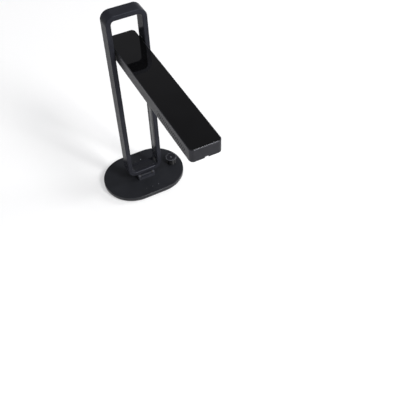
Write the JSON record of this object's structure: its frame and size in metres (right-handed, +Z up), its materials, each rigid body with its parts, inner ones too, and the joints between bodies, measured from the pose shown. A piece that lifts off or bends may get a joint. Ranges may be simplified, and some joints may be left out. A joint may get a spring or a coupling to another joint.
{
  "type": "folding overhead book scanner",
  "caption": "Desk book scanner: flat camera arm that tilts in an upright loop, which folds down onto a weighted oval base with a rotary knob.",
  "frame": {"origin": "centre of the base's underside, on the surface that the scanner stands on", "axes": "+Z up along the upright, +X to the right, where the knob is, and -Y to the front, where the arm reaches"},
  "size_m": [0.1654, 0.3393, 0.3829],
  "materials": {
    "cast_coat": "satin",
    "anodised_frame": "satin",
    "satin_housing": "satin",
    "gloss_panel": "gloss",
    "black_plastic": "matte",
    "foot_rubber": "matte",
    "steel": "satin",
    "brass_washer": "satin",
    "bearing_plastic": "satin",
    "circuit_board": "satin",
    "bare_aluminium": "satin",
    "light_diffuser": "matte",
    "light_guide": "gloss",
    "lens_glass": "polished",
    "cable_film": "satin"
  },
  "bodies": {
    "base": {"base_cover": "cast_coat", "base_plate": "black_plastic", "foot_pad": "foot_rubber", "base_screw_1": "steel", "base_screw_2": "steel", "base_screw_3": "steel", "base_screw_4": "steel", "ballast_plate": "steel", "main_board": "circuit_board", "power_socket": "black_plastic", "data_socket": "steel", "touch_board": "circuit_board", "touch_light_left": "light_guide", "touch_light_middle": "light_guide", "touch_light_right": "light_guide", "status_light": "light_guide", "light_sensor": "light_guide", "encoder_body": "steel", "switch_dome": "steel", "encoder_nut": "steel", "hinge_saddle": "anodised_frame", "hinge_pin": "steel", "hinge_washer_left": "brass_washer", "hinge_washer_right": "brass_washer", "saddle_screw_left": "steel", "saddle_screw_right": "steel"},
    "rotor": {"encoder_rotor": "black_plastic"},
    "knob": {"encoder_shaft": "steel", "knob": "gloss_panel", "knob_inlay": "satin_housing", "knob_pip": "light_guide"},
    "stem": {"stem_frame": "anodised_frame", "channel_trim": "black_plastic", "stem_cable": "cable_film", "hinge_knuckle": "anodised_frame", "knuckle_screw_left": "steel", "knuckle_screw_right": "steel", "pivot_bush_left": "bearing_plastic", "pivot_bush_right": "bearing_plastic"},
    "arm": {"arm_housing": "satin_housing", "arm_top_panel": "gloss_panel", "arm_bottom_cover": "black_plastic", "arm_screw_1": "steel", "arm_screw_2": "steel", "arm_screw_3": "steel", "arm_screw_4": "steel", "light_diffuser": "light_diffuser", "led_board": "circuit_board", "camera_bezel": "gloss_panel", "camera_barrel": "black_plastic", "camera_lens": "lens_glass", "camera_board": "circuit_board", "processor_board": "circuit_board", "heat_sink": "bare_aluminium", "arm_cable": "cable_film", "pivot_bracket_left": "steel", "pivot_bracket_right": "steel", "pivot_shaft_left": "steel", "pivot_shaft_right": "steel"}
  },
  "joints": [
    {"name": "stem_fold", "type": "hinge", "parent": "base", "child": "stem", "pos_m": [0, -0.01197, 0.019], "axis": [1, 0, 0], "range_deg": [0, 90]},
    {"name": "arm_tilt", "type": "hinge", "parent": "stem", "child": "arm", "pos_m": [0, -0.0035, 0.312], "axis": [1, 0, 0], "range_deg": [0, 90]},
    {"name": "knob_turn", "type": "hinge", "parent": "base", "child": "rotor", "pos_m": [0.062, -0.0015, 0.0075], "axis": [0, 0, 1], "continuous": true},
    {"name": "knob_press", "type": "slide", "parent": "rotor", "child": "knob", "axis": [0, 0, -1], "range_m": [0, 0.0005], "stiffness_N_per_m": 4000, "springref_m": -0.0003}
  ]
}
